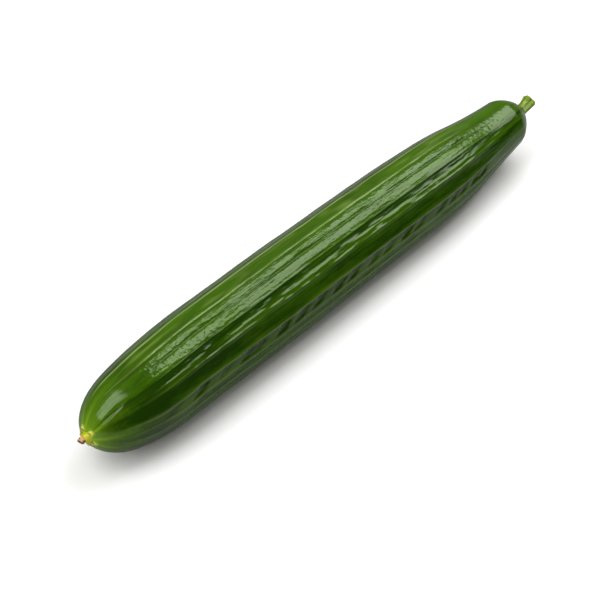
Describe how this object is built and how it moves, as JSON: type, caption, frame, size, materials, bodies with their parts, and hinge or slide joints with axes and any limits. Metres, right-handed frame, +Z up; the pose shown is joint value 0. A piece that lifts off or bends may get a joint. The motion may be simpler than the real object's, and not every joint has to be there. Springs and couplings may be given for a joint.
{
  "type": "cucumber",
  "caption": "Long, slightly tapering green cucumber with shallow ribs, a stem stub and a dried flower tip, lying on its side as picked.",
  "frame": {"origin": "middle of the object's footprint on the surface that it lies on", "axes": "+X along the fruit from the blossom end to the stem end, +Z up, -Y the front that the picture shows"},
  "size_m": [0.34, 0.0444, 0.0437],
  "materials": {
    "skin": "glossy waxy dark green skin with paler streaks along the ribs, yellow round the blossom scar",
    "stem": "satin yellow-green with paler and darker stripes along it",
    "dried_flower": "dry, matt, tan to dark brown"
  },
  "bodies": {
    "root": {"fruit": "skin", "stem": "stem", "blossom_remnant": "dried_flower"}
  },
  "joints": []
}
